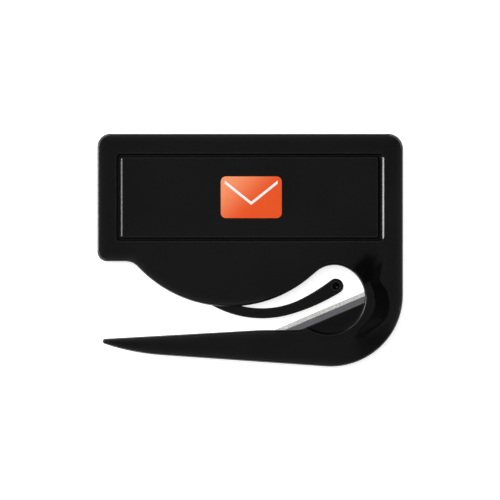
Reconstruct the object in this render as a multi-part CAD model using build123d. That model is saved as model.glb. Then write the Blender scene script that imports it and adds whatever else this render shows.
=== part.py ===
from build123d import *
import os
from math import atan2, cos, degrees, radians, sin, sqrt

# Hand-held letter slitter: two moulded halves joined face to face hold a steel blade and the
# root of a springy guide finger. The long spike goes under the flap, the hook carries the cut.
# Millimetres. X runs along the header, Y from the spike up to the header, Z out of the flat
# back. The origin is the middle of the outline's box, on the back. Every piece is drawn about
# the parting plane between the halves, and lifted to its height at the end.

# ---- outline -------------------------------------------------------------------------------
body_width = 82.3
body_height = 62.8
half_thickness = 2.4          # one moulded half, so the header is twice this thick
edge_bevel = 0.6              # bevel of every outer edge
top_left_radius = 3.5
top_right_radius = 4.0
shoulder_rise = 28.4          # from the bottom edge to the shoulder on the left
shoulder_corner_radius = 2.6
shoulder_blend = 4.5          # hollow radius where the belly leaves the shoulder
shoulder_width = 9.61         # from the left edge to where the belly's arc starts
belly_depth = 12.15           # from the shoulder down to the belly's lowest point

# ---- throat and hook -----------------------------------------------------------------------
throat_inset = 18.95          # the throat's middle, from the right edge
throat_rise = 18.74           # and from the bottom edge
throat_radius = 8.77
crown_radius = 7.5            # tighter arc at the top left of the throat
crown_angle = 67.6            # where the throat's arc turns into the crown
lead_length = 1.82            # short straight between belly and crown
hook_radius = 19.4
recess_radius = 9.8           # hollow beside the blade
recess_floor = 0.55           # above the parting plane
recess_corner = 1.0           # where the hollow runs out on the spike
rim_width = 1.8               # flat rim between the throat and the slope
slope_width = 3.7             # S-shaped slope from the rim up to the header's face
slope_fullness = 0.4
swell = 2.4                   # how much wider the slope is beside the throat
swell_angle = -14.0
swell_spread = 34.0
reach_out = 5.6               # and how far it runs out towards the panel's corner
reach_angle = 44.0
reach_spread = 22.0
fall_start = 62.0             # the rim sinks from the header's height between these angles
fall_end = 14.0
strip_width = 2.4             # level strip between the slope and the right edge
panel_clearance = 0.3         # between the slope and the panel's groove

# ---- spike ---------------------------------------------------------------------------------
spike_height = 1.4            # above the parting plane
spike_tip_height = 0.85
spike_tip_radius = 0.7
spike_tip_inset = 1.95        # the tip's middle, from the left edge
spike_tip_rise = 6.8          # and from the bottom edge
spike_top_rise = 9.9          # the spike's upper edge beside the blade
spike_neck_left = 19.6        # where that edge turns down to the tip, left of the throat
spike_neck_drop = 0.05
spike_top_slope = 3.3
underside_angle = 3.95
underside_bend_inset = 17.15  # the underside curves up to the tip from here
taper_inset = 24.0            # and the face curves down to the tip from here
tip_sweep = 19.5
neck_blend = 40.0
foot_blend = 4.0
slot_rise = 13.1              # middle of the slot between belly and spike

# ---- blade ---------------------------------------------------------------------------------
blade_angle = 23.0
blade_left = 2.0              # middle of the cutting edge, left of the throat's middle
blade_down = 3.08             # and below it
blade_length = 32.0
blade_width = 7.0
blade_thickness = 0.3
blade_edge_thickness = 0.04
bevel_width = 1.1
blade_exposed = 2.7           # cutting edge to the ledge that holds the blade
blade_gap = 0.02              # all round the blade in its pocket
blade_pin_spacing = 22.0
blade_pin_depth = 4.8         # cutting edge to the pins
blade_pin_radius = 0.8
blade_pin_top = 0.85
blade_hole_gap = 0.04
ledge_width = 0.45
ledge_height = 0.35           # above the parting plane
ledge_slope = 0.5             # width of the slope from the ledge to the hollow's floor

# ---- guide finger --------------------------------------------------------------------------
over_left = 19.07             # middle of the arc along its upper side, left of the throat's
over_up = 20.72
over_radius = 23.74
over_end_angle = -62.3
under_left = 18.96            # middle of the arc along its lower side
under_up = 21.99
under_radius = 27.73
under_end_angle = -73.9
finger_tip_right = 0.95       # middle of its round tip, from the throat's middle
finger_tip_up = 2.99
finger_tip_radius = 2.05
tip_start_angle = 128.0       # where the upper side meets the tip's arc
tip_end_angle = -59.2
finger_thickness = 2.0
finger_chamfer = 0.25
finger_root_angle = -135.0
finger_mouth_angle = -95.0    # the finger leaves the belly before this
eye_radius = 2.2
eye_pin_radius = 1.2
eye_pin_gap = 0.08
eye_pin_top = 1.7
finger_side_gap = 0.3
finger_face_gap = 0.06
finger_swing_up = 5.0
finger_swing_down = 2.5
dimple_radius = 1.05

# ---- print panel ---------------------------------------------------------------------------
panel_left_margin = 4.95      # from the body's edges to the groove
panel_right_margin = 5.15
panel_top_margin = 5.35
panel_height = 23.7
panel_corner = 1.35
groove_depth = 0.6
groove_side_wall = 0.7        # width of each slanting wall, at the panel's ends
groove_long_wall = 0.38       # and along the panel
groove_floor = 0.38
island_corner = 0.3

# ---- weld pins -----------------------------------------------------------------------------
weld_pin_radius = 1.25
weld_pin_top = 1.55
weld_pin_gap = 0.02           # the same in every pin's socket, and at its end
weld_pin_drop = 2.8           # from the top edge to the pins above the panel
weld_pin_inset = 9.0          # from the side edges
island_pin_inset = 14.0       # from the panel's ends to the pins under it
belly_pin_drop = 3.5          # from the shoulder down to the belly's pin

right_edge = body_width / 2
top_edge = body_height / 2
left_edge = -right_edge
bottom_edge = -top_edge
half_blade = blade_thickness / 2
half_finger = finger_thickness / 2
shoulder_y = bottom_edge + shoulder_rise
spike_top_y = bottom_edge + spike_top_rise
throat = Vector(right_edge - throat_inset, bottom_edge + throat_rise)
hook = Vector(right_edge - hook_radius, bottom_edge + hook_radius)
over = throat + Vector(-over_left, over_up)
under = throat + Vector(-under_left, under_up)
finger_tip = throat + Vector(finger_tip_right, finger_tip_up)
spike_tip = Vector(left_edge + spike_tip_inset, bottom_edge + spike_tip_rise)
panel_length = body_width - panel_left_margin - panel_right_margin
panel_x = (panel_left_margin - panel_right_margin) / 2
panel_y = top_edge - panel_top_margin - panel_height / 2
rim_end = throat_radius + rim_width
beyond = 2 * body_width       # longer than anything in the part


def toward(angle):
    """Unit vector at an angle in degrees from +X."""
    return Vector(cos(radians(angle)), sin(radians(angle)))


def angle_of(middle, point):
    return degrees(atan2(point.Y - middle.Y, point.X - middle.X))


def arc(middle, radius, start, end):
    """Arc about a middle, between two angles."""
    return ThreePointArc(*[middle + radius * toward(a) for a in (start, (start + end) / 2, end)])


def crossing(origin, direction, middle, radius, side):
    """Where a line meets a circle, on the forward (1) or backward (-1) side."""
    reach = (middle - origin).dot(direction)
    offset = (origin + direction * reach - middle).length
    return origin + direction * (reach + side * sqrt(radius**2 - offset**2))


along_blade = toward(blade_angle)
behind_blade = toward(blade_angle - 90)
edge_middle = throat + Vector(-blade_left, -blade_down)
ledge = edge_middle + behind_blade * blade_exposed
ledge_end = crossing(ledge, along_blade, throat, throat_radius, 1)
ledge_end_angle = angle_of(throat, ledge_end)
recess = throat + toward(ledge_end_angle) * (throat_radius - recess_radius)
recess_start = crossing(ledge, along_blade, recess, recess_radius, -1)
eye = (over + over_radius * toward(finger_root_angle)) * 0.5
eye = eye + (under + under_radius * toward(finger_root_angle)) * 0.5


def joining_circle(start, lowest, middle, radius, straight):
    """Circle with its lowest point at a height, from a point to a straight that ends on an arc."""
    deep = 2 * (start.Y - lowest)
    far = 2 * (radius + middle.Y - lowest)
    rest = (lowest - middle.Y) ** 2 - radius**2 - straight**2
    square = deep - far
    half_line = middle.X * deep - start.X * far
    plain = (middle.X**2 + rest) * deep - (start.X**2 + (deep / 2) ** 2) * far
    x = plain / (half_line + sqrt(half_line**2 - square * plain))
    found = ((x - start.X) ** 2 + (deep / 2) ** 2) / deep
    return Vector(x, lowest + found), found


crown = throat + (throat_radius - crown_radius) * toward(crown_angle)
shoulder = Vector(left_edge + shoulder_width, shoulder_y)
belly, belly_radius = joining_circle(shoulder, shoulder_y - belly_depth, crown, crown_radius, lead_length)
lead_turn = degrees(atan2(lead_length, crown_radius + belly_radius))
lead_side = toward(angle_of(belly, crown) - lead_turn)


def corner_at(shape, point, radius):
    """Round the corner of a flat shape that is nearest to a point."""
    nearest = shape.vertices().sort_by(lambda v: (Vector(v) - point).length)[0]
    return fillet(nearest, radius)


def outline(with_recess):
    """The shape seen from the front; with_recess leaves out the hollow beside the blade."""
    lead_foot = belly + lead_side * belly_radius
    lead_top = crown - lead_side * crown_radius
    foot = ledge + along_blade * ((spike_top_y - ledge.Y) / along_blade.Y)
    neck = Vector(throat.X - spike_neck_left, spike_top_y - spike_neck_drop)
    tip_under = spike_tip + spike_tip_radius * toward(-90 - tip_sweep)
    tip_over = spike_tip + spike_tip_radius * toward(90 + spike_top_slope)
    back = toward(180 - underside_angle)
    heel = hook + hook_radius * toward(-90 - underside_angle)
    bend = heel + back * ((heel.X - left_edge - underside_bend_inset) / -back.X)
    top_left = Vector(left_edge, top_edge)
    top_right = Vector(right_edge, top_edge)
    low_left = Vector(left_edge, shoulder_y)
    blade_side = [Line(ledge_end, foot)]
    if with_recess:
        hollow = arc(recess, recess_radius, ledge_end_angle, angle_of(recess, recess_start))
        blade_side = [hollow, Line(recess_start, foot)]
    shape = make_face(
        [
            Line(top_left, low_left),
            Line(low_left, shoulder),
            ThreePointArc(shoulder, belly + belly_radius * toward(-90), lead_foot),
            Line(lead_foot, lead_top),
            arc(crown, crown_radius, angle_of(crown, lead_top), crown_angle),
            arc(throat, throat_radius, crown_angle, ledge_end_angle),
            *blade_side,
            Line(foot, neck),
            Line(neck, tip_over),
            ThreePointArc(tip_over, spike_tip + spike_tip_radius * toward(180), tip_under),
            TangentArc(bend, tip_under, tangent=back),
            Line(bend, heel),
            arc(hook, hook_radius, -90 - underside_angle, 0),
            Line(hook + hook_radius * toward(0), top_right),
            Line(top_right, top_left),
        ]
    )
    shape = corner_at(shape, top_left, top_left_radius)
    shape = corner_at(shape, top_right, top_right_radius)
    shape = corner_at(shape, low_left, shoulder_corner_radius)
    shape = corner_at(shape, shoulder, shoulder_blend)
    shape = corner_at(shape, neck, neck_blend)
    if with_recess:
        shape = corner_at(shape, recess_start, recess_corner)
    return corner_at(shape, foot, foot_blend)


def block(x_low, x_high, y_low, y_high):
    """Flat rectangle between four limits."""
    middle = Pos((x_low + x_high) / 2, (y_low + y_high) / 2)
    return middle * Rectangle(x_high - x_low, y_high - y_low)


def fan(start, end):
    """Flat triangle spreading from the throat's middle."""
    return Polygon(throat, throat + beyond * toward(start), throat + beyond * toward(end), align=None)


def blend(fraction):
    """Smooth step from 0 to 1."""
    part = max(0.0, min(1.0, fraction))
    return part**3 * (10 - 15 * part + 6 * part**2)


def slope_reach(angle):
    """Radius at which the slope meets the header's face or the hook's outer strip."""
    beside = blend(1 - abs(angle - swell_angle) / swell_spread)
    corner = blend(1 - abs(angle - reach_angle) / reach_spread)
    return rim_end + slope_width + swell * beside + reach_out * corner


def slope_section(angle):
    """What is cut away over the rim, the slope and the hook, in one plane through the throat."""
    rise = half_thickness - spike_height
    inner = spike_height + rise * blend((angle - fall_end) / (fall_start - fall_end))
    outer = spike_height + rise * blend((angle + 90) / (ledge_end_angle + 90))
    slope_end = slope_reach(angle)
    ease = slope_fullness * (slope_end - rim_end)
    far = throat_inset + hook_radius
    above = 2 * half_thickness
    section = make_face(
        [
            Line((throat_radius / 3, inner), (rim_end, inner)),
            Bezier((rim_end, inner), (rim_end + ease, inner), (slope_end - ease, outer), (slope_end, outer)),
            Line((slope_end, outer), (far, outer)),
            Line((far, outer), (far, above)),
            Line((far, above), (throat_radius / 3, above)),
            Line((throat_radius / 3, above), (throat_radius / 3, inner)),
        ]
    )
    ray = toward(angle)
    return Plane(origin=throat, x_dir=ray, z_dir=(ray.Y, -ray.X, 0)) * section


def slope_cutter():
    angles = [80, crown_angle, 56, 44, 34, 24, 12, 2, ledge_end_angle, -18, -30, -45, -60, -75, -90]
    return loft([slope_section(a) for a in angles])


def spike_cutter():
    """What is cut away over the spike's face, which is level and then curves down to the tip."""
    end = (left_edge, spike_tip_height)
    start = (left_edge + taper_inset, spike_height)
    above = 2 * half_thickness
    profile = make_face(
        [
            Line((throat.X, spike_height), start),
            TangentArc(start, end, tangent=(-1, 0)),
            Line(end, (left_edge, above)),
            Line((left_edge, above), (throat.X, above)),
            Line((throat.X, above), (throat.X, spike_height)),
        ]
    )
    side = Plane(origin=(0, 0, 0), x_dir=(1, 0, 0), z_dir=(0, -1, 0))
    return extrude(side * profile, body_height, both=True)


def bevelled(piece, border):
    """Bevel the front edges of a piece that run along a border."""
    lines = border.edges()

    def on_border(edge):
        flat = [Vertex((edge @ k).X, (edge @ k).Y, 0) for k in (0.02, 0.5, 0.98)]
        return all(min(line.distance_to(spot) for line in lines) < 0.002 for spot in flat)

    def runs_along(edge):
        run = (edge @ 1) - (edge @ 0)
        return (edge @ 0.5).Z > recess_floor and sqrt(run.X**2 + run.Y**2) > 0.01

    return chamfer([e for e in piece.edges() if runs_along(e) and on_border(e)], edge_bevel)


def half_body():
    """One half without pockets: the header, the slope, the hook and the spike, bevelled."""
    raised = outline(True)
    under_panel = panel_y - panel_height / 2 - panel_clearance
    slope_limit = block(-beyond, right_edge - strip_width, -beyond, under_panel)
    slope_zone = fan(ledge_end_angle, crown_angle) & slope_limit
    hook_zone = fan(-90, ledge_end_angle)
    spike_zone = block(-beyond, throat.X, -beyond, bottom_edge + slot_rise)
    cutter = slope_cutter()
    tall = 1.5 * half_thickness
    header = extrude(raised - slope_zone - hook_zone - spike_zone, half_thickness)
    slope = extrude(raised & slope_zone, tall) - cutter
    hook_face = extrude(raised & hook_zone, tall) - cutter
    spike = extrude(raised & spike_zone, tall) - spike_cutter()
    zones = [bevelled(zone, raised) for zone in (header, slope, hook_face, spike)]
    return zones[0] + zones[1] + zones[2] + zones[3] + recess_bed()


def recess_bed():
    """Floor of the hollow, sloping down to a thin ledge along the blade."""
    reach = recess_radius + edge_bevel
    limits = block(recess_start.X - edge_bevel, throat.X + reach, throat.Y - reach, ledge_end.Y)
    bed = extrude(outline(False) & limits, recess_floor)
    top = 2 * recess_floor
    profile = Polygon(
        (-ledge_width, ledge_height),
        (ledge_width, ledge_height),
        (ledge_width + ledge_slope, recess_floor),
        (ledge_width + ledge_slope, top),
        (-ledge_width, top),
        align=None,
    )
    across = Plane(origin=ledge, x_dir=behind_blade, z_dir=along_blade)
    return bed - extrude(across * profile, blade_length, both=True)


def panel_groove():
    """Shallow slanted groove that frames the print panel on the front."""
    groove = panel_ring_part(0, panel_corner, -1) - panel_ring_part(1, island_corner, 1)
    return Pos(panel_x, panel_y, half_thickness) * groove


def panel_ring_part(inner, corner, lean):
    """Block inside the groove's outer walls (0) or its inner walls (1), leaning in or out."""
    length = panel_length - inner * 2 * (2 * groove_side_wall + groove_floor)
    height = panel_height - inner * 2 * (2 * groove_long_wall + groove_floor)
    low_length = length + lean * 2 * groove_side_wall
    low_height = height + lean * 2 * groove_long_wall
    low_corner = corner + lean * (groove_side_wall + groove_long_wall) / 2
    top = RectangleRounded(length, height, corner)
    low = Pos(0, 0, -groove_depth) * RectangleRounded(low_length, low_height, low_corner)
    return loft([top, low])


def on_blade(along, behind):
    """A point of the blade, from the middle of its cutting edge."""
    return Pos(edge_middle + along_blade * along + behind_blade * behind)


def blade_pin_places():
    half = blade_pin_spacing / 2
    return [on_blade(side * half, blade_pin_depth) for side in (-1, 1)]


def weld_pin_places():
    corner_x = right_edge - weld_pin_inset
    island_x = panel_length / 2 - island_pin_inset
    corners = [Pos(side * corner_x, top_edge - weld_pin_drop) for side in (-1, 1)]
    island = [Pos(panel_x + side * island_x, panel_y) for side in (-1, 1)]
    return corners + island + [Pos(belly.X, shoulder_y - belly_pin_drop)]


def pins(gap):
    """Weld pins, blade pins and the finger's pin; with a gap, the sockets they go into."""
    made = [place * round_pin(weld_pin_radius + gap, weld_pin_top + gap) for place in weld_pin_places()]
    made += [place * round_pin(blade_pin_radius + gap, blade_pin_top + gap) for place in blade_pin_places()]
    made.append(Pos(eye) * round_pin(eye_pin_radius + gap, eye_pin_top + gap))
    return made


def round_pin(radius, top):
    """Pin standing up through the parting plane from well inside the back half."""
    root = half_finger + finger_face_gap
    return Pos(0, 0, -root) * extrude(Circle(radius), top + root)


def finger_outline():
    over_end = over + over_radius * toward(over_end_angle)
    under_end = under + under_radius * toward(under_end_angle)
    over_tip = finger_tip + finger_tip_radius * toward(tip_start_angle)
    under_tip = finger_tip + finger_tip_radius * toward(tip_end_angle)
    over_root = over + over_radius * toward(finger_root_angle)
    under_root = under + under_radius * toward(finger_root_angle)
    return make_face(
        [
            arc(over, over_radius, finger_root_angle, over_end_angle),
            TangentArc(over_end, over_tip, tangent=toward(over_end_angle + 90)),
            ThreePointArc(over_tip, finger_tip + finger_tip_radius * toward(tip_start_angle / 2), under_tip),
            TangentArc(under_end, under_tip, tangent=toward(under_end_angle + 90)),
            arc(under, under_radius, under_end_angle, finger_root_angle),
            Line(under_root, over_root),
        ]
    )


def guide_finger():
    """Springy finger with an eye at its root and a small hollow in its tip."""
    strip = soft_plate(finger_outline())
    ring = soft_plate(Pos(eye) * Circle(eye_radius))
    hole = Cylinder(eye_pin_radius + eye_pin_gap, 2 * finger_thickness)
    dimple = Pos(finger_tip.X, finger_tip.Y, half_finger) * Sphere(dimple_radius)
    return strip + ring - Pos(eye) * hole - dimple


def soft_plate(shape):
    """Plate of the finger's thickness, bevelled along both faces."""
    plate = Pos(0, 0, -half_finger) * extrude(shape, finger_thickness)
    faces = plate.faces().sort_by(Axis.Z)
    return chamfer(faces[0].edges() + faces[-1].edges(), finger_chamfer)


def finger_pocket():
    """Room in both halves for the finger's root and its swing, open at the belly's edge."""
    middle = (over + under) * 0.5
    radius = (over_radius + under_radius) / 2
    angles = (-125, -115, -105, finger_mouth_angle)
    spine = [middle + radius * toward(a) for a in angles]
    low = [swung(point, -finger_swing_down) for point in spine]
    high = swung(spine[-1], finger_swing_up)
    half_width = (under_radius - over_radius) / 2 - (under_up - over_up) / 2
    room = offset(Polygon(eye, *low, high, align=None), half_width + finger_side_gap)
    room = room + Pos(eye) * Circle(eye_radius + finger_side_gap)
    return extrude(room, half_finger + finger_face_gap)


def swung(point, angle):
    """A point turned about the finger's pin."""
    return eye + (point - eye).rotate(Axis.Z, angle)


def blade_blank(gap):
    """Steel strip ground to an edge on both sides; with a gap, the room it lies in."""
    thick = half_blade + gap
    keen = thick if gap else blade_edge_thickness / 2
    profile = Polygon(
        (-gap, keen),
        (bevel_width, thick),
        (blade_width + gap, thick),
        (blade_width + gap, -thick),
        (bevel_width, -thick),
        (-gap, -keen),
        align=None,
    )
    across = Plane(origin=edge_middle, x_dir=behind_blade, z_dir=along_blade)
    return extrude(across * profile, blade_length / 2 + gap, both=True)


def blade():
    strip = blade_blank(0)
    for place in blade_pin_places():
        strip = strip - place * Cylinder(blade_pin_radius + blade_hole_gap, 4 * blade_thickness)
    return strip


def placed(piece, label):
    """Lift a piece to its height over the flat back."""
    made = Pos(0, 0, half_thickness) * piece
    made.label = label
    return made


half = half_body() - blade_blank(blade_gap) - finger_pocket()
front = half - panel_groove()
for socket in pins(weld_pin_gap):
    front = front - socket
back = mirror(half, Plane.XY)
for pin in pins(0):
    back = back + pin

os.makedirs("parts", exist_ok=True)
export_step(placed(front, "front_shell"), "parts/front_shell.step")
export_step(placed(back, "back_shell"), "parts/back_shell.step")
export_step(placed(blade(), "blade"), "parts/blade.step")
export_step(placed(guide_finger(), "guide_finger"), "parts/guide_finger.step")
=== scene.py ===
# Hand-held letter slitter of black moulded plastic: a flat header with a framed print panel, a
# hook with a slanting steel blade, a long tapered spike and a springy guide finger. It lies on
# its back: +X along the header, +Y up to the header, +Z out of the front. Metres.
import math

import bmesh
import bpy
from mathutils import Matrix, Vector


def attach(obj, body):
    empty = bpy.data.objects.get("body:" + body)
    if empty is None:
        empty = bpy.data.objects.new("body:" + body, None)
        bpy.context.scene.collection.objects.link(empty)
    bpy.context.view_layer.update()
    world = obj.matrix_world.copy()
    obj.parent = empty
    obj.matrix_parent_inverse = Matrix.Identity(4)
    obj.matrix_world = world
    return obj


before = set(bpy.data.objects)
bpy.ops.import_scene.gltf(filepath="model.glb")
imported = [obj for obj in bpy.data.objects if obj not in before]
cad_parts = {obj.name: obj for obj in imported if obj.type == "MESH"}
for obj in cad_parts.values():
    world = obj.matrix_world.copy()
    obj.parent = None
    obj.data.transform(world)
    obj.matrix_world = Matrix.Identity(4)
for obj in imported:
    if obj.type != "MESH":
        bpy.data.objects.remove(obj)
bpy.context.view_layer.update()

# ---- Moulded halves ----------------------------------------------------------------------------
# Two halves of glossy black styrene, injection-moulded in a polished tool and welded face to
# face round the blade. Outer edges carry a painted sheen, a paler colour towards them; inner
# corners are duller, where the tool couldn't be polished, and darkened as painted shade; a fine
# weld line shows where the halves meet.
PLASTIC_IOR = 1.49
PLASTIC_SHINE = 0.42
MOULDED_BLACK = (0.0015, 0.0015, 0.0017, 1.0)
WELD_LINE_BLACK = (0.0012, 0.0012, 0.0012, 1.0)
PAINTED_EDGE_SHEEN = (0.06, 0.06, 0.062, 1.0)
PAINTED_CORNER_SHADE = (0.0008, 0.0008, 0.0008, 1.0)
PARTING_HEIGHT = 0.0024
WELD_LINE_BAND = (0.000027, 0.00009)
HOLLOW_FLOOR = 0.00055  # beside the blade, from the parting plane
HOLLOW_DULLNESS = 0.2
HOLLOW_BAND = (0.00001, 0.00003)
EDGE_SHEEN_REACH = 0.00035
CORNER_REACH = 0.0014
CORNER_DULLNESS = 0.6
NEARBY_SAMPLES = 8
RIPPLE_SCALE = 260.0
WORN_SCALE = 55.0
WORN_BAND = (0.35, 0.75)
WORN_DULLNESS = 0.07
SCRATCH_TURNS = (0.5, 2.1)
SCRATCH_STRETCH = (150.0, 6000.0, 150.0)
SCRATCH_BAND = (0.68, 0.74)
SCRATCH_DULLNESS = 0.12
SCRATCH_DEPTH = 0.15
SURFACE_STRENGTH = 0.22
SURFACE_DEPTH = 0.00004

# the halves' outline: header, strip beside the hook, belly, hook and spike
HALF_LENGTH = 0.04115
HALF_HEIGHT = 0.0314
SHOULDER_HEIGHT = -0.003
BELLY_MIDDLE = (-0.0056, 0.0186, 0.0)
BELLY_RADIUS = 0.03376
BELLY_TOP = 0.006
HOOK_MIDDLE = (0.02175, -0.012, 0.0)
HOOK_RADIUS = 0.0194
SPIKE_TIP = (-0.0392, -0.0239)
SPIKE_TIP_RISE = 0.0577
SPIKE_BEND = (-0.024, -0.02829)
SPIKE_BEND_FALL = -0.069
SPIKE_SWEEP_MIDDLE = (-0.0199, 0.0308, 0.0)
SPIKE_SWEEP_RADIUS = 0.0592
# painted edge sheen: how far in from the outline it reaches, how fast it dies out, how strong
EDGE_FADE_WIDTH = 0.003
EDGE_FADE_POWER = 3.0
EDGE_FADE = 0.22

# angles from level that sort the faces, and how far a face's shading may bend at its edge
LEVEL_ANGLE = math.radians(3)
STEEP_ANGLE = math.radians(37)
UPRIGHT_ANGLE = math.radians(89)
BEVEL_BEND = math.radians(54)
CURVE_BEND = math.radians(30)
JOIN_GAP = 0.000002


def feed(tree, socket, value):
    """Links a socket to another, or gives it a fixed value."""
    if isinstance(value, bpy.types.NodeSocket):
        tree.links.new(value, socket)
    elif value is not None:
        socket.default_value = value


def put(tree, kind, inputs=None, **settings):
    """Adds a node, makes its settings and feeds its inputs, by name or number."""
    node = tree.nodes.new(kind)
    for name, value in settings.items():
        setattr(node, name, value)
    for name, value in (inputs or {}).items():
        feed(tree, node.inputs[name], value)
    return node


def math_step(tree, operation, first, second=None):
    """One sum on two values, each a socket or a number."""
    return put(tree, "ShaderNodeMath", {0: first, 1: second}, operation=operation).outputs[0]


def fold(tree, operation, values):
    """Takes several values through one sum in turn, such as the least or most of them."""
    result = values[0]
    for value in values[1:]:
        result = math_step(tree, operation, result, value)
    return result


def vector_step(tree, operation, first, second=None):
    """One sum on two vectors. SCALE takes a number as its second value."""
    inputs = {0: first, "Scale" if operation == "SCALE" else 1: second}
    node = put(tree, "ShaderNodeVectorMath", inputs, operation=operation)
    return node.outputs["Value" if operation in ("DISTANCE", "DOT_PRODUCT") else "Vector"]


def span(tree, value, low, high, out_low=0.0, out_high=1.0):
    """Maps a value from one span to another, smoothly."""
    ends = {"From Min": low, "From Max": high, "To Min": out_low, "To Max": out_high}
    inputs = {"Value": value, **ends}
    return put(tree, "ShaderNodeMapRange", inputs, interpolation_type="SMOOTHSTEP").outputs[0]


def mix_colour(tree, share, low, high):
    """Runs from one colour to another as the share goes from none to all."""
    return put(tree, "ShaderNodeMix", {0: share, 6: low, 7: high}, data_type="RGBA").outputs[2]


def noise(tree, at, scale, detail):
    """Cloudy pattern."""
    inputs = {"Vector": at, "Scale": scale, "Detail": detail}
    return put(tree, "ShaderNodeTexNoise", inputs).outputs[0]


def stretch(tree, at, scale, turn=0.0):
    """Turns a pattern in the parting plane and stretches it."""
    inputs = {"Vector": at, "Rotation": (0.0, 0.0, turn), "Scale": scale}
    return put(tree, "ShaderNodeMapping", inputs).outputs[0]


def place_in_object(tree):
    """The place on the object, and its x, y and z."""
    at = put(tree, "ShaderNodeTexCoord").outputs["Object"]
    return at, *put(tree, "ShaderNodeSeparateXYZ", {"Vector": at}).outputs


def lay_out(tree):
    """Stands each node one column to the right of the last one that feeds it."""
    columns, rows = {}, {}

    def column(node):
        if node.name not in columns:
            feeders = [link.from_node for socket in node.inputs for link in socket.links]
            columns[node.name] = 1 + max([column(feeder) for feeder in feeders], default=0)
        return columns[node.name]

    for node in tree.nodes:
        row = rows[column(node)] = rows.get(column(node), 0) + 1
        node.location = (220 * column(node), -260 * row)


def new_group(name, kind, inputs, outputs):
    """Node group with named sockets, each with its kind, and the sockets that come into it."""
    tree = bpy.data.node_groups.new(name, kind)
    for label, socket_kind, value in inputs:
        kind_name = "NodeSocket" + socket_kind
        socket = tree.interface.new_socket(label, in_out="INPUT", socket_type=kind_name)
        if value is not None:
            socket.default_value = value
    for label, socket_kind in outputs:
        kind_name = "NodeSocket" + socket_kind
        tree.interface.new_socket(label, in_out="OUTPUT", socket_type=kind_name)
    return tree, put(tree, "NodeGroupInput").outputs


def inside_disc(tree, flat, middle, radius):
    """How deep a place in the parting plane lies inside a round."""
    return math_step(tree, "SUBTRACT", radius, vector_step(tree, "DISTANCE", flat, middle))


def above_line(tree, x, y, start, rise):
    """How far a place lies above a slanting line."""
    climb = math_step(tree, "MULTIPLY", math_step(tree, "SUBTRACT", x, start[0]), rise)
    return math_step(tree, "SUBTRACT", y, math_step(tree, "ADD", climb, start[1]))


def outline_edge_group():
    """One at the moulding's outer edge, fading to nothing inside it."""
    inputs = [("Fade Width", "Float", EDGE_FADE_WIDTH)]
    tree, given = new_group("outline edge", "ShaderNodeTree", inputs, [("Edge", "Float")])
    at, x, y, _ = place_in_object(tree)
    flat = vector_step(tree, "MULTIPLY", at, (1.0, 1.0, 0.0))
    right = math_step(tree, "SUBTRACT", HALF_LENGTH, x)
    left = math_step(tree, "ADD", HALF_LENGTH, x)
    top = math_step(tree, "SUBTRACT", HALF_HEIGHT, y)
    shoulder = math_step(tree, "SUBTRACT", y, SHOULDER_HEIGHT)
    header = fold(tree, "MINIMUM", [right, left, top, shoulder])
    beside_hook = math_step(tree, "SUBTRACT", x, HOOK_MIDDLE[0])
    over_hook = math_step(tree, "SUBTRACT", y, HOOK_MIDDLE[1])
    strip = fold(tree, "MINIMUM", [right, top, over_hook, beside_hook])
    belly = inside_disc(tree, flat, BELLY_MIDDLE, BELLY_RADIUS)
    belly = math_step(tree, "MINIMUM", belly, math_step(tree, "SUBTRACT", BELLY_TOP, y))
    hook = inside_disc(tree, flat, HOOK_MIDDLE, HOOK_RADIUS)
    upper = math_step(tree, "MULTIPLY", above_line(tree, x, y, SPIKE_TIP, SPIKE_TIP_RISE), -1.0)
    lower = above_line(tree, x, y, SPIKE_BEND, SPIKE_BEND_FALL)
    sweep = inside_disc(tree, flat, SPIKE_SWEEP_MIDDLE, SPIKE_SWEEP_RADIUS)
    sweep = math_step(tree, "MAXIMUM", sweep, math_step(tree, "SUBTRACT", x, SPIKE_BEND[0]))
    spike = fold(tree, "MINIMUM", [upper, lower, sweep])
    deep = fold(tree, "MAXIMUM", [header, strip, belly, hook, spike])
    edge = math_step(tree, "SUBTRACT", 1.0, math_step(tree, "DIVIDE", deep, given["Fade Width"]))
    edge = math_step(tree, "MINIMUM", math_step(tree, "MAXIMUM", edge, 0.0), 1.0)
    put(tree, "NodeGroupOutput", {"Edge": math_step(tree, "POWER", edge, EDGE_FADE_POWER)})
    lay_out(tree)
    return tree


outline_edge = outline_edge_group()


def crowding(tree, reach, inside):
    """How sharply the surface turns within reach: an outer corner from inside, or an inner one."""
    settings = {"inside": inside, "only_local": True, "samples": NEARBY_SAMPLES}
    near = put(tree, "ShaderNodeAmbientOcclusion", {"Distance": reach}, **settings)
    return math_step(tree, "SUBTRACT", 1.0, near.outputs["AO"])


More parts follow.
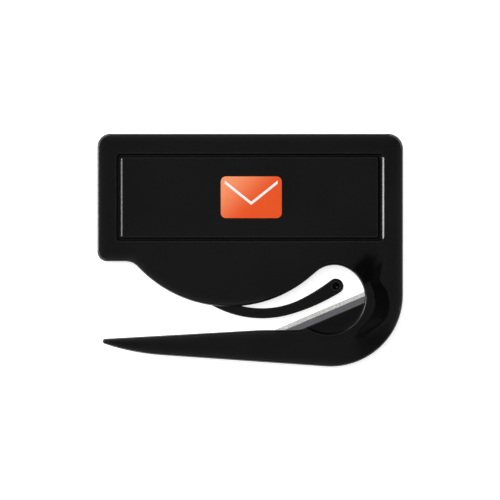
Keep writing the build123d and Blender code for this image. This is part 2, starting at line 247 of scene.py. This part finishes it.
def moulded_gloss_group():
    """Ripple, scratches, painted sheen and shade, and weld line of a polished moulding."""
    inputs = [
        ("Colour", "Color", MOULDED_BLACK),
        ("Polish", "Float", 0.16),
        ("Scratches", "Float", 0.5),
        ("Ripple", "Float", 0.5),
        ("Dull Shaded Corners", "Float", 1.0),
        ("Edge Fade", "Float", EDGE_FADE),
    ]
    outputs = [("Colour", "Color"), ("Roughness", "Float"), ("Height", "Float")]
    tree, given = new_group("moulded gloss", "ShaderNodeTree", inputs, outputs)
    at, _, _, z = place_in_object(tree)
    # slow ripple of the polished tool
    ripple = noise(tree, at, RIPPLE_SCALE, 2.0)
    # long thin handling scratches, in two directions
    streaks = [noise(tree, stretch(tree, at, SCRATCH_STRETCH, a), 1.0, 1.0) for a in SCRATCH_TURNS]
    marks = [span(tree, streak, *SCRATCH_BAND) for streak in streaks]
    scratch = math_step(tree, "MULTIPLY", fold(tree, "MAXIMUM", marks), given["Scratches"])
    # patches worn by fingers
    worn = span(tree, noise(tree, at, WORN_SCALE, 4.0), *WORN_BAND, 0.0, WORN_DULLNESS)
    # weld line: a hair-thin groove at the height where the halves meet
    off = math_step(tree, "ABSOLUTE", math_step(tree, "SUBTRACT", z, PARTING_HEIGHT))
    line = span(tree, off, *WELD_LINE_BAND, 1.0, 0.0)
    # the hollow's floor is as the spark cutter left it
    over_floor = math_step(tree, "ABSOLUTE", math_step(tree, "SUBTRACT", off, HOLLOW_FLOOR))
    floor = span(tree, over_floor, *HOLLOW_BAND, HOLLOW_DULLNESS, 0.0)
    # painted sheen: the colour turns paler where the outside turns a corner and towards the
    # outline, and dies out on the flats
    painted_light_share = put(tree, "ShaderNodeGroup", node_tree=outline_edge).outputs["Edge"]
    painted_light_share = math_step(tree, "MULTIPLY", painted_light_share, given["Edge Fade"])
    edge_sheen = math_step(tree, "ADD", crowding(tree, EDGE_SHEEN_REACH, inside=True), painted_light_share)
    # painted shade: inner corners and hollows get a darker colour, and also a duller finish
    dull_shade = crowding(tree, CORNER_REACH, inside=False)
    dull_shade = math_step(tree, "MULTIPLY", dull_shade, given["Dull Shaded Corners"])
    colour = mix_colour(tree, edge_sheen, given["Colour"], PAINTED_EDGE_SHEEN)
    colour = mix_colour(tree, dull_shade, colour, PAINTED_CORNER_SHADE)
    colour = mix_colour(tree, line, colour, WELD_LINE_BLACK)
    scratch_dullness = math_step(tree, "MULTIPLY", scratch, SCRATCH_DULLNESS)
    corner_dullness = math_step(tree, "MULTIPLY", dull_shade, CORNER_DULLNESS)
    dullness = [given["Polish"], worn, scratch_dullness, floor, corner_dullness]
    height = math_step(tree, "MULTIPLY", ripple, given["Ripple"])
    scratch_depth = math_step(tree, "MULTIPLY", scratch, SCRATCH_DEPTH)
    height = fold(tree, "SUBTRACT", [height, scratch_depth, line])
    results = {"Colour": colour, "Roughness": fold(tree, "ADD", dullness), "Height": height}
    put(tree, "NodeGroupOutput", results)
    lay_out(tree)
    return tree


moulded_gloss = moulded_gloss_group()


def new_material(name):
    """Material with nodes, its tree and its shader."""
    material = bpy.data.materials.new(name)
    material.use_nodes = True
    return material, material.node_tree, material.node_tree.nodes["Principled BSDF"]


def finish_surface(tree, shader, colour, rough, height, strength, depth):
    """Feeds a material's shader its colour, roughness and relief."""
    relief = {"Height": height, "Strength": strength, "Distance": depth}
    feed(tree, shader.inputs["Base Color"], colour)
    feed(tree, shader.inputs["Roughness"], rough)
    feed(tree, shader.inputs["Normal"], put(tree, "ShaderNodeBump", relief).outputs["Normal"])
    lay_out(tree)


def black_plastic(name, polish, scratches, ripple, dull_shaded_corners=1.0, edge_fade=EDGE_FADE):
    """Glossy black moulding, with its own polish and handling marks."""
    material, tree, shader = new_material(name)
    shader.inputs["IOR"].default_value = PLASTIC_IOR
    shader.inputs["Specular IOR Level"].default_value = PLASTIC_SHINE
    inputs = {
        "Colour": MOULDED_BLACK,
        "Polish": polish,
        "Scratches": scratches,
        "Ripple": ripple,
        "Dull Shaded Corners": dull_shaded_corners,
        "Edge Fade": edge_fade,
    }
    gloss = put(tree, "ShaderNodeGroup", inputs, node_tree=moulded_gloss).outputs
    looks = (gloss["Colour"], gloss["Roughness"], gloss["Height"])
    finish_surface(tree, shader, *looks, SURFACE_STRENGTH, SURFACE_DEPTH)
    return material


def spread(tree, value, kind, domains):
    """Carries a value over faces, points or corners in turn, as the mean of those that meet."""
    for domain in domains:
        settings = {"data_type": kind, "domain": domain}
        value = put(tree, "GeometryNodeFieldOnDomain", {"Value": value}, **settings).outputs[0]
    return value


def soft_edge_tree():
    """Shades bevels and slopes soft from flat to wall. Flats and the panel's groove stay crisp."""
    inputs = [
        ("Mesh", "Geometry", None),
        ("Level Angle", "Float", LEVEL_ANGLE),
        ("Steep Angle", "Float", STEEP_ANGLE),
        ("Upright Angle", "Float", UPRIGHT_ANGLE),
        ("Bevel Bend", "Float", BEVEL_BEND),
        ("Curve Bend", "Float", CURVE_BEND),
    ]
    tree, given = new_group("soft edges", "GeometryNodeTree", inputs, [("Mesh", "Geometry")])
    facing = put(tree, "GeometryNodeInputNormal").outputs["True Normal"]
    rise = put(tree, "ShaderNodeSeparateXYZ", {"Vector": facing}).outputs["Z"]
    tilt = math_step(tree, "ARCCOSINE", math_step(tree, "ABSOLUTE", rise))
    # four kinds of face, and bevels, which are steep faces that meet a wall
    level = math_step(tree, "LESS_THAN", tilt, given["Level Angle"])
    upright = math_step(tree, "GREATER_THAN", tilt, given["Upright Angle"])
    above = math_step(tree, "GREATER_THAN", tilt, given["Steep Angle"])
    steep = math_step(tree, "SUBTRACT", above, upright)
    gentle = math_step(tree, "SUBTRACT", math_step(tree, "SUBTRACT", 1.0, above), level)
    walled = spread(tree, upright, "FLOAT", ("FACE", "POINT", "FACE"))
    bevel = math_step(tree, "MULTIPLY", steep, math_step(tree, "GREATER_THAN", walled, 0.0))
    bevel_bend = math_step(tree, "COSINE", given["Bevel Bend"])
    curve_bend = math_step(tree, "COSINE", given["Curve Bend"])
    # which faces lean to which, the last that applies at a corner
    leanings = (
        (steep, steep, curve_bend),
        (gentle, gentle, curve_bend),
        (upright, upright, curve_bend),
        (steep, upright, bevel_bend),
        (bevel, gentle, bevel_bend),
        (bevel, level, bevel_bend),
        (gentle, level, curve_bend),
    )
    lean = facing
    for kind, towards, bend in leanings:
        share = vector_step(tree, "SCALE", facing, towards)
        met = spread(tree, share, "FLOAT_VECTOR", ("FACE", "POINT"))
        direction = vector_step(tree, "NORMALIZE", met)
        agreement = vector_step(tree, "DOT_PRODUCT", direction, facing)
        near = math_step(tree, "GREATER_THAN", agreement, bend)
        here = math_step(tree, "MULTIPLY", near, kind)
        choice = {"Switch": here, "False": lean, "True": direction}
        lean = put(tree, "GeometryNodeSwitch", choice, input_type="VECTOR").outputs[0]
    shaped = {"Mesh": given["Mesh"], "Custom Normal": lean}
    shaded = put(tree, "GeometryNodeSetMeshNormal", shaped, mode="FREE", domain="CORNER")
    # facets stand apart again, so that each keeps its own directions at its corners
    apart = put(tree, "GeometryNodeSplitEdges", {"Mesh": shaded.outputs[0]})
    put(tree, "NodeGroupOutput", {"Mesh": apart.outputs[0]})
    lay_out(tree)
    return tree


soft_edges = soft_edge_tree()


def finish_node(name, material, softened=True):
    """Gives a piece its material, and softens the bevels of a moulded one."""
    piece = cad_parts[name]
    piece.data.materials.clear()
    piece.data.materials.append(material)
    if softened:
        piece.data.polygons.foreach_set("use_smooth", [True] * len(piece.data.polygons))
        piece.modifiers.new("join facets", "WELD").merge_threshold = JOIN_GAP
        piece.modifiers.new("soften edges", "NODES").node_group = soft_edges


front_black = black_plastic("front black plastic", polish=0.15, scratches=0.5, ripple=0.5)
back_black = black_plastic("back black plastic", polish=0.19, scratches=0.9, ripple=0.5)
finish_node("front_shell", front_black)
finish_node("back_shell", back_black)

# ---- Blade -------------------------------------------------------------------------------------
# Strip of hardened steel, 0.3 mm thick, trapped between the halves with only its edge showing.
# The flat keeps the strip's rolled grain along its length; the edge is ground across on a coarse
# wheel, which leaves it paler, rougher and speckled.
EDGE_MIDDLE = (0.0202, -0.01574, 0.0024)
BLADE_TURN = math.radians(23.0)
BEVEL_WIDTH = 0.0011
BEVEL_BLUR = 0.00006
ROLLED_STRETCH = (300.0, 14000.0, 300.0)
ROLLED_TONES = ((0.3, (0.33, 0.33, 0.36, 1.0)), (0.7, (0.52, 0.52, 0.55, 1.0)))
ROLLED_ROUGHNESS = (0.26, 0.36)
ROLLED_DEPTH = 0.3
GROUND_STRETCH = (9000.0, 900.0, 900.0)
GROUND_TONES = ((0.12, (0.42, 0.41, 0.4, 1.0)), (0.4, (0.95, 0.93, 0.9, 1.0)))
GROUND_ROUGHNESS = (0.42, 0.6)
SPECKLE_SCALE = 7000.0
HANDLED_SCALE = 300.0
GRAIN_BAND = (0.3, 0.7)
STEEL_METAL = 0.86
BURR_SCATTER = 0.4
STEEL_STRENGTH = 0.5
STEEL_DEPTH = 0.00002


def two_tones(tree, value, tones):
    """Colour that runs between two tones, each with the value where it stands."""
    ramp = put(tree, "ShaderNodeValToRGB", {"Fac": value})
    for stop, (position, tone) in zip(ramp.color_ramp.elements, tones):
        stop.position = position
        stop.color = tone
    return ramp.outputs[0]


def blade_steel():
    """Rolled steel on the flat, ground steel on the bevel behind the edge."""
    material, tree, shader = new_material("blade steel")
    at = place_in_object(tree)[0]
    # place on the strip: x along the edge, y behind it
    on_strip = {"Vector": at, "Location": EDGE_MIDDLE, "Rotation": (0.0, 0.0, BLADE_TURN)}
    strip = put(tree, "ShaderNodeMapping", on_strip, vector_type="TEXTURE").outputs[0]
    behind = put(tree, "ShaderNodeSeparateXYZ", {"Vector": strip}).outputs["Y"]
    ground = span(tree, behind, -BEVEL_WIDTH - BEVEL_BLUR, -BEVEL_WIDTH + BEVEL_BLUR)
    # rolled grain runs along the strip, grinding marks run across the bevel
    grain = noise(tree, stretch(tree, strip, ROLLED_STRETCH), 1.0, 3.0)
    marks = noise(tree, stretch(tree, strip, GROUND_STRETCH), 1.0, 3.0)
    speckle = noise(tree, at, SPECKLE_SCALE, 2.0)
    handled = noise(tree, at, HANDLED_SCALE, 3.0)
    rolled_colour = two_tones(tree, grain, ROLLED_TONES)
    ground_colour = two_tones(tree, math_step(tree, "MULTIPLY", marks, speckle), GROUND_TONES)
    colour = mix_colour(tree, ground, rolled_colour, ground_colour)
    rolled_rough = span(tree, handled, *GRAIN_BAND, *ROLLED_ROUGHNESS)
    ground_rough = span(tree, marks, *GRAIN_BAND, *GROUND_ROUGHNESS)
    ends = {0: ground, 2: rolled_rough, 3: ground_rough}
    rough = put(tree, "ShaderNodeMix", ends, data_type="FLOAT").outputs[0]
    # the fine grinding burrs scatter light, as a film of dust would
    burrs = math_step(tree, "MULTIPLY", ground, BURR_SCATTER)
    feed(tree, shader.inputs["Metallic"], math_step(tree, "SUBTRACT", STEEL_METAL, burrs))
    rolled_relief = math_step(tree, "MULTIPLY", grain, ROLLED_DEPTH)
    height = math_step(tree, "ADD", math_step(tree, "MULTIPLY", marks, ground), rolled_relief)
    finish_surface(tree, shader, colour, rough, height, STEEL_STRENGTH, STEEL_DEPTH)
    return material


finish_node("blade", blade_steel(), softened=False)

# ---- Guide finger ------------------------------------------------------------------------------
# Springy arm of the same black plastic, a separate moulding with softened edges. It is handled
# and rubbed by every envelope, so it has more scratches than the front. The tip's small hollow
# is as glossy as the rest.
finger_black = black_plastic(
    "finger black plastic",
    polish=0.16,
    scratches=0.8,
    ripple=0.4,
    dull_shaded_corners=0.0,
    edge_fade=0.0,
)
finish_node("guide_finger", finger_black)

# ---- Printed mark ------------------------------------------------------------------------------
# Plain envelope sign, pad-printed in orange and white ink in the middle of the panel. The ink is
# a thin raised film; its orange and white are painted a little paler towards the upper left, as
# painted light.
MARK_MIDDLE = (0.0003, 0.01425)
MARK_LENGTH = 0.0164
MARK_HEIGHT = 0.0112
MARK_CORNER = 0.0014
CORNER_STEPS = 10
MARK_TOP = 0.0048
INK_LIFT = 0.000002
INK_THICKNESS = 0.00003
FLAP_LINE = 0.00085
FLAP_INSET = 0.0011
FLAP_POINT_DROP = 0.0012
ORANGE_TONES = ((0.9, 0.29, 0.125, 1.0), (0.77, 0.075, 0.004, 1.0))
WHITE_TONES = ((0.88, 0.88, 0.87, 1.0), (0.85, 0.85, 0.84, 1.0))
INK_PAINTED_LIGHT = (-0.012, 0.004)
INK_IOR = 1.45
INK_GRAIN_SCALE = 2600.0
INK_ROUGHNESS = (0.32, 0.42)
INK_STRENGTH = 0.2
INK_DEPTH = 0.00001


def ink_film(name, ring, base, material):
    """Thin film of ink from an outline in the panel's plane."""
    mesh = bpy.data.meshes.new(name)
    shape = bmesh.new()
    low = [shape.verts.new((x, y, base)) for x, y in ring]
    high = [shape.verts.new((x, y, base + INK_THICKNESS)) for x, y in ring]
    shape.faces.new(high)
    shape.faces.new(low[::-1])
    for i in range(len(ring)):
        j = (i + 1) % len(ring)
        shape.faces.new((low[i], low[j], high[j], high[i]))
    bmesh.ops.recalc_face_normals(shape, faces=shape.faces)
    bmesh.ops.triangulate(shape, faces=shape.faces)
    shape.to_mesh(mesh)
    shape.free()
    piece = bpy.data.objects.new(name, mesh)
    bpy.context.scene.collection.objects.link(piece)
    mesh.materials.append(material)
    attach(piece, "body")


def rounded_ring(middle, length, height, corner):
    """Outline of a rounded rectangle, anticlockwise."""
    ring = []
    for quarter, (sx, sy) in enumerate(((1, 1), (-1, 1), (-1, -1), (1, -1))):
        cx = middle[0] + sx * (length / 2 - corner)
        cy = middle[1] + sy * (height / 2 - corner)
        for step in range(CORNER_STEPS + 1):
            turn = math.pi / 2 * (quarter + step / CORNER_STEPS)
            ring.append((cx + corner * math.cos(turn), cy + corner * math.sin(turn)))
    return ring


def flap_ring():
    """The V of the envelope's flap, as one band from corner to corner."""
    x, y = MARK_MIDDLE
    half = MARK_LENGTH / 2 - FLAP_INSET
    top = y + MARK_HEIGHT / 2 - FLAP_INSET
    point = y - FLAP_POINT_DROP
    outer = [(x - half, top - FLAP_LINE), (x, point - FLAP_LINE), (x + half, top - FLAP_LINE)]
    inner = [(x + half, top), (x, point), (x - half, top)]
    return outer + inner


def printed_ink(name, tones):
    """Satin ink, whose colour runs between two tones across the mark as painted light."""
    material, tree, shader = new_material(name)
    shader.inputs["IOR"].default_value = INK_IOR
    at, x, y, _ = place_in_object(tree)
    up = math_step(tree, "SUBTRACT", y, MARK_MIDDLE[1])
    # painted light: the colour is paler towards the upper left
    painted_light_share = span(tree, math_step(tree, "SUBTRACT", x, up), *INK_PAINTED_LIGHT)
    grain = noise(tree, at, INK_GRAIN_SCALE, 3.0)
    rough = span(tree, grain, *GRAIN_BAND, *INK_ROUGHNESS)
    colour = mix_colour(tree, painted_light_share, *tones)
    finish_surface(tree, shader, colour, rough, grain, INK_STRENGTH, INK_DEPTH)
    return material


envelope_ring = rounded_ring(MARK_MIDDLE, MARK_LENGTH, MARK_HEIGHT, MARK_CORNER)
ink_base = MARK_TOP + INK_LIFT
ink_film("printed_envelope", envelope_ring, ink_base, printed_ink("orange ink", ORANGE_TONES))
flap_ink = printed_ink("white ink", WHITE_TONES)
ink_film("printed_flap", flap_ring(), ink_base + INK_THICKNESS, flap_ink)

# ---- Table -------------------------------------------------------------------------------------
# Plain white sweep that the slitter lies on. It is white to the camera and in gloss, keeps the
# object's shadow, and isn't part of the object.
TABLE_SIZE = 6.0
TABLE_DROP = 0.00002
TABLE_WHITE = (0.8, 0.8, 0.8, 1.0)
TABLE_ROUGHNESS = 0.9
TABLE_GLOW = 0.75


def table():
    """One square, with a glow that only the camera and gloss see."""
    mesh = bpy.data.meshes.new("table")
    half = TABLE_SIZE / 2
    corners = [(-half, -half), (half, -half), (half, half), (-half, half)]
    mesh.from_pydata([(x, y, -TABLE_DROP) for x, y in corners], [], [(0, 1, 2, 3)])
    top = bpy.data.objects.new("table", mesh)
    bpy.context.scene.collection.objects.link(top)
    material, tree, plain = new_material("white sweep")
    plain.inputs["Base Color"].default_value = TABLE_WHITE
    plain.inputs["Roughness"].default_value = TABLE_ROUGHNESS
    glow = put(tree, "ShaderNodeEmission", {"Color": (1.0, 1.0, 1.0, 1.0), "Strength": TABLE_GLOW})
    both = put(tree, "ShaderNodeAddShader", {0: plain.outputs[0], 1: glow.outputs[0]})
    seen = put(tree, "ShaderNodeLightPath").outputs
    rays = ("Is Camera Ray", "Is Glossy Ray", "Is Transmission Ray")
    shows = fold(tree, "MAXIMUM", [seen[ray] for ray in rays])
    chosen = put(tree, "ShaderNodeMixShader", {0: shows, 1: plain.outputs[0], 2: both.outputs[0]})
    feed(tree, tree.nodes["Material Output"].inputs["Surface"], chosen.outputs[0])
    lay_out(tree)
    mesh.materials.append(material)


table()

# ---- Light and camera --------------------------------------------------------------------------
# A dark room with a pale ceiling and daylight from the lower right. A low bright panel stands on
# the left, and two weaker ones above the header. A broad lamp overhead brings the colours to a
# plain level without showing in the gloss.
CEILING = 0.29
CEILING_RIM = (0.982, 0.993)
WALLS = 0.01
HORIZON = 0.3
HORIZON_RIM = (0.05, 0.22)
WINDOW_SIDE = 0.22
WINDOW_RIM = (0.3, 0.85)
WINDOW_TOWARDS = (0.87, -0.5, 0.0)
CAMERA_LENS = 120.0
CAMERA_SENSOR = 36.0
PICTURE_WIDTH = 0.135
PICTURE_MIDDLE = (-0.00004, 0.00007)
PICTURE_HEIGHT = 0.003


def aim(azimuth, elevation, far):
    """A place at an angle round from +X and an angle up from the table."""
    a, e = math.radians(azimuth), math.radians(elevation)
    return (far * math.cos(e) * math.cos(a), far * math.cos(e) * math.sin(a), far * math.sin(e))


def soft_panel(name, at, size, power, in_gloss=True):
    """Rectangular soft light that faces the object."""
    light = bpy.data.lights.new(name, "AREA")
    light.shape = "RECTANGLE"
    light.size, light.size_y = size
    light.energy = power
    lamp = bpy.data.objects.new(name, light)
    lamp.location = at
    lamp.rotation_mode = "QUATERNION"
    lamp.rotation_quaternion = (Vector((0, 0, 0)) - Vector(at)).to_track_quat("-Z", "Y")
    lamp.visible_glossy = in_gloss
    bpy.context.scene.collection.objects.link(lamp)


# each stands a metre off: its name, place, size and power
soft_panel("left panel", aim(168, 13, 1.0), (0.6, 0.35), 12.1)
soft_panel("top panel", aim(135, 45, 1.0), (0.5, 0.25), 3.2)
soft_panel("upper panel", aim(108, 68, 1.0), (0.3, 0.12), 0.08)
soft_panel("fill lamp", aim(120, 70, 1.0), (0.8, 0.8), 6.5, in_gloss=False)

world = bpy.data.worlds.new("room")
bpy.context.scene.world = world
world.use_nodes = True
room = world.node_tree
towards = put(room, "ShaderNodeTexCoord").outputs["Generated"]
upward = put(room, "ShaderNodeSeparateXYZ", {"Vector": towards}).outputs["Z"]
window_side = vector_step(room, "DOT_PRODUCT", towards, WINDOW_TOWARDS)
pale = span(room, upward, *CEILING_RIM, WALLS, CEILING)
low = span(room, upward, *HORIZON_RIM, HORIZON, WALLS)
daylight = span(room, window_side, *WINDOW_RIM, WALLS, WINDOW_SIDE)
to_camera = put(room, "ShaderNodeLightPath").outputs["Is Camera Ray"]
back_wall = room.nodes["Background"]
back_wall.inputs["Color"].default_value = (1.0, 1.0, 1.0, 1.0)
brightness = fold(room, "MAXIMUM", [pale, low, daylight, to_camera])
feed(room, back_wall.inputs["Strength"], brightness)
lay_out(room)

lens = bpy.data.cameras.new("camera")
lens.lens = CAMERA_LENS
lens.sensor_width = CAMERA_SENSOR
camera = bpy.data.objects.new("camera", lens)
camera_rise = PICTURE_WIDTH * CAMERA_LENS / CAMERA_SENSOR + PICTURE_HEIGHT
camera.location = (*PICTURE_MIDDLE, camera_rise)
bpy.context.scene.collection.objects.link(camera)
bpy.context.scene.camera = camera
bpy.context.scene.view_settings.view_transform = "Standard"
